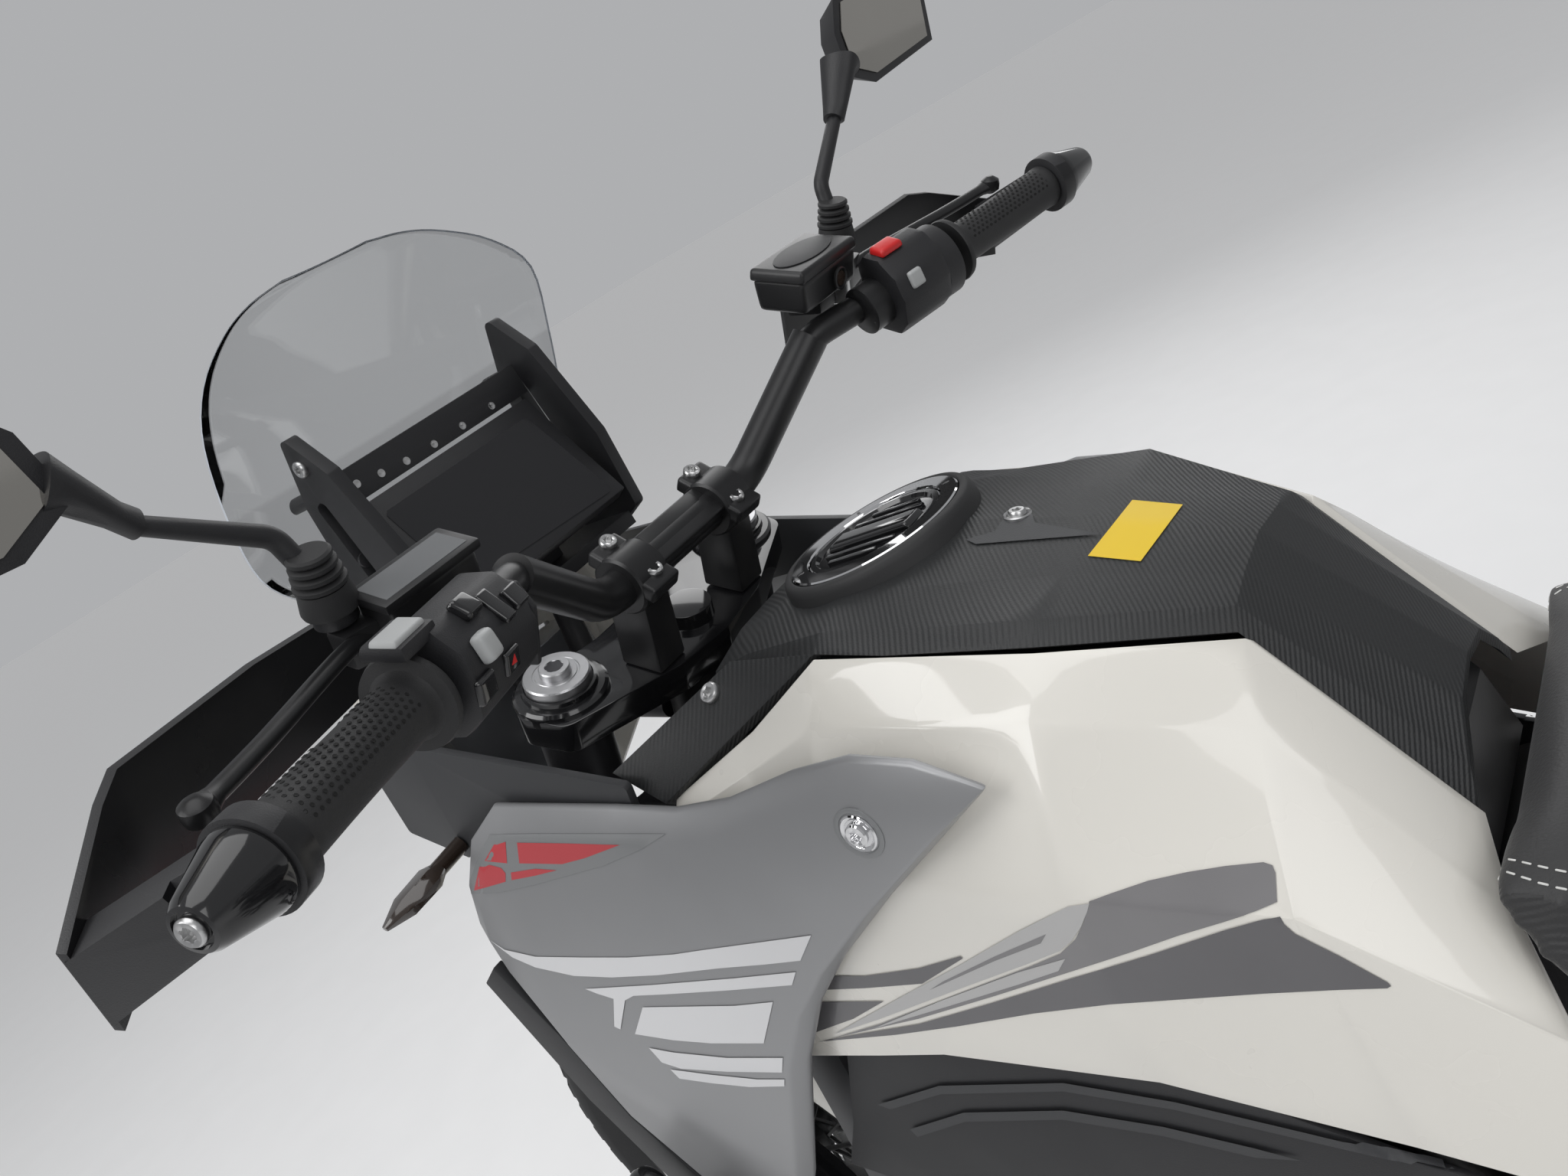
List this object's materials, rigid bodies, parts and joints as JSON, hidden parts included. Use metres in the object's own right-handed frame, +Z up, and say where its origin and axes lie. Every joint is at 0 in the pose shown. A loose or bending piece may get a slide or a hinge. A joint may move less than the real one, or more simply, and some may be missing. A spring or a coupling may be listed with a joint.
{
  "type": "adventure motorcycle",
  "caption": "Middleweight adventure motorcycle on its centre stand, with handguards, windscreen, side shrouds, crash bars, luggage rack, wire wheels, steering and stands that move.",
  "frame": {"origin": "on the floor under the middle of the overall length, in the middle plane", "axes": "+X forward, +Y to the rider's left, +Z up"},
  "size_m": [2.23, 1, 1.368],
  "materials": {
    "bar": "satin black",
    "black_plastic": "moulded",
    "gloss_black": "gloss black",
    "frame": "satin black",
    "chain": "oiled steel",
    "display": "blank display",
    "engine": "dark casting",
    "exhaust": "brushed steel",
    "chrome": "polished",
    "fork": "black fork, silver caps",
    "caliper": "black caliper",
    "disc": "ground steel",
    "tyre": "road tyre rubber",
    "wheel": "black wheel",
    "cap": "gloss black",
    "rubber": "moulded rubber",
    "lamp": "lamp glass",
    "rack": "black cast rack",
    "seat": "seat cover",
    "radiator": "black core",
    "shock": "spring paint",
    "bracket": "black bracket",
    "grey_satin": "satin grey",
    "skid": "brushed aluminium",
    "silver_frame": "anodised",
    "tail": "red lens",
    "pearl_white": "pearl white",
    "screen": "clear"
  },
  "bodies": {
    "front_wheel": {"front_tyre": "tyre", "front_wheel": "wheel", "front_discs": "disc"},
    "rear_wheel": {"rear_tyre": "tyre", "rear_wheel": "wheel", "rear_disc": "disc", "rear_sprocket": "disc"},
    "steering": {"triple_clamps": "gloss_black", "fork_legs": "fork", "handlebar": "bar", "bar_clamp": "bar", "grips": "rubber", "bar_ends": "gloss_black", "bar_controls": "black_plastic", "handguards": "black_plastic", "mirrors": "black_plastic", "front_fender": "black_plastic", "front_calipers": "caliper"},
    "centre_stand": {"centre_stand": "frame"},
    "side_stand": {"side_stand": "frame"},
    "fuel_cap": {"fuel_cap": "cap"},
    "chassis": {"chain": "chain", "cockpit_panels": "black_plastic", "crash_bars": "gloss_black", "display": "display", "engine": "engine", "exhaust": "exhaust", "filler_ring": "chrome", "foot_pegs": "frame", "frame": "frame", "fuel_tank": "black_plastic", "headlamp": "lamp", "indicators": "black_plastic", "luggage_rack": "rack", "nose_fairing": "black_plastic", "pillion_seat": "seat", "radiator": "radiator", "rear_caliper": "caliper", "rear_fender": "black_plastic", "rear_shock": "shock", "rider_seat": "seat", "screen_brackets": "bracket", "shroud_trim": "black_plastic", "shrouds": "grey_satin", "side_covers": "black_plastic", "skid_plate": "skid", "swingarm": "silver_frame", "tail_covers": "black_plastic", "tail_lamp": "tail", "tank_cover": "black_plastic", "tank_sides": "pearl_white", "windscreen": "screen"}
  },
  "joints": [
    {"name": "front_wheel_spin", "type": "hinge", "parent": "steering", "child": "front_wheel", "pos_m": [0.78598, 0, 0.329], "axis": [0, 1, 0], "continuous": true},
    {"name": "rear_wheel_spin", "type": "hinge", "parent": "chassis", "child": "rear_wheel", "pos_m": [-0.71873, 0, 0.341], "axis": [0, 1, 0], "continuous": true},
    {"name": "steering_turn", "type": "hinge", "parent": "chassis", "child": "steering", "pos_m": [0.41872, 0, 1.0208], "axis": [-0.4281, 0, 0.9037], "range_deg": [-35, 35]},
    {"name": "centre_stand_fold", "type": "hinge", "parent": "chassis", "child": "centre_stand", "pos_m": [-0.24898, 0, 0.258], "axis": [0, 1, 0], "range_deg": [0, 88]},
    {"name": "side_stand_swing", "type": "hinge", "parent": "chassis", "child": "side_stand", "pos_m": [-0.17098, 0.172, 0.29], "axis": [-0.1002, -0.9046, -0.4144], "range_deg": [0, 103.2]},
    {"name": "fuel_cap_lift", "type": "hinge", "parent": "chassis", "child": "fuel_cap", "pos_m": [0.27154, 0, 1.04297], "axis": [0, 1, 0], "range_deg": [0, 100]}
  ]
}
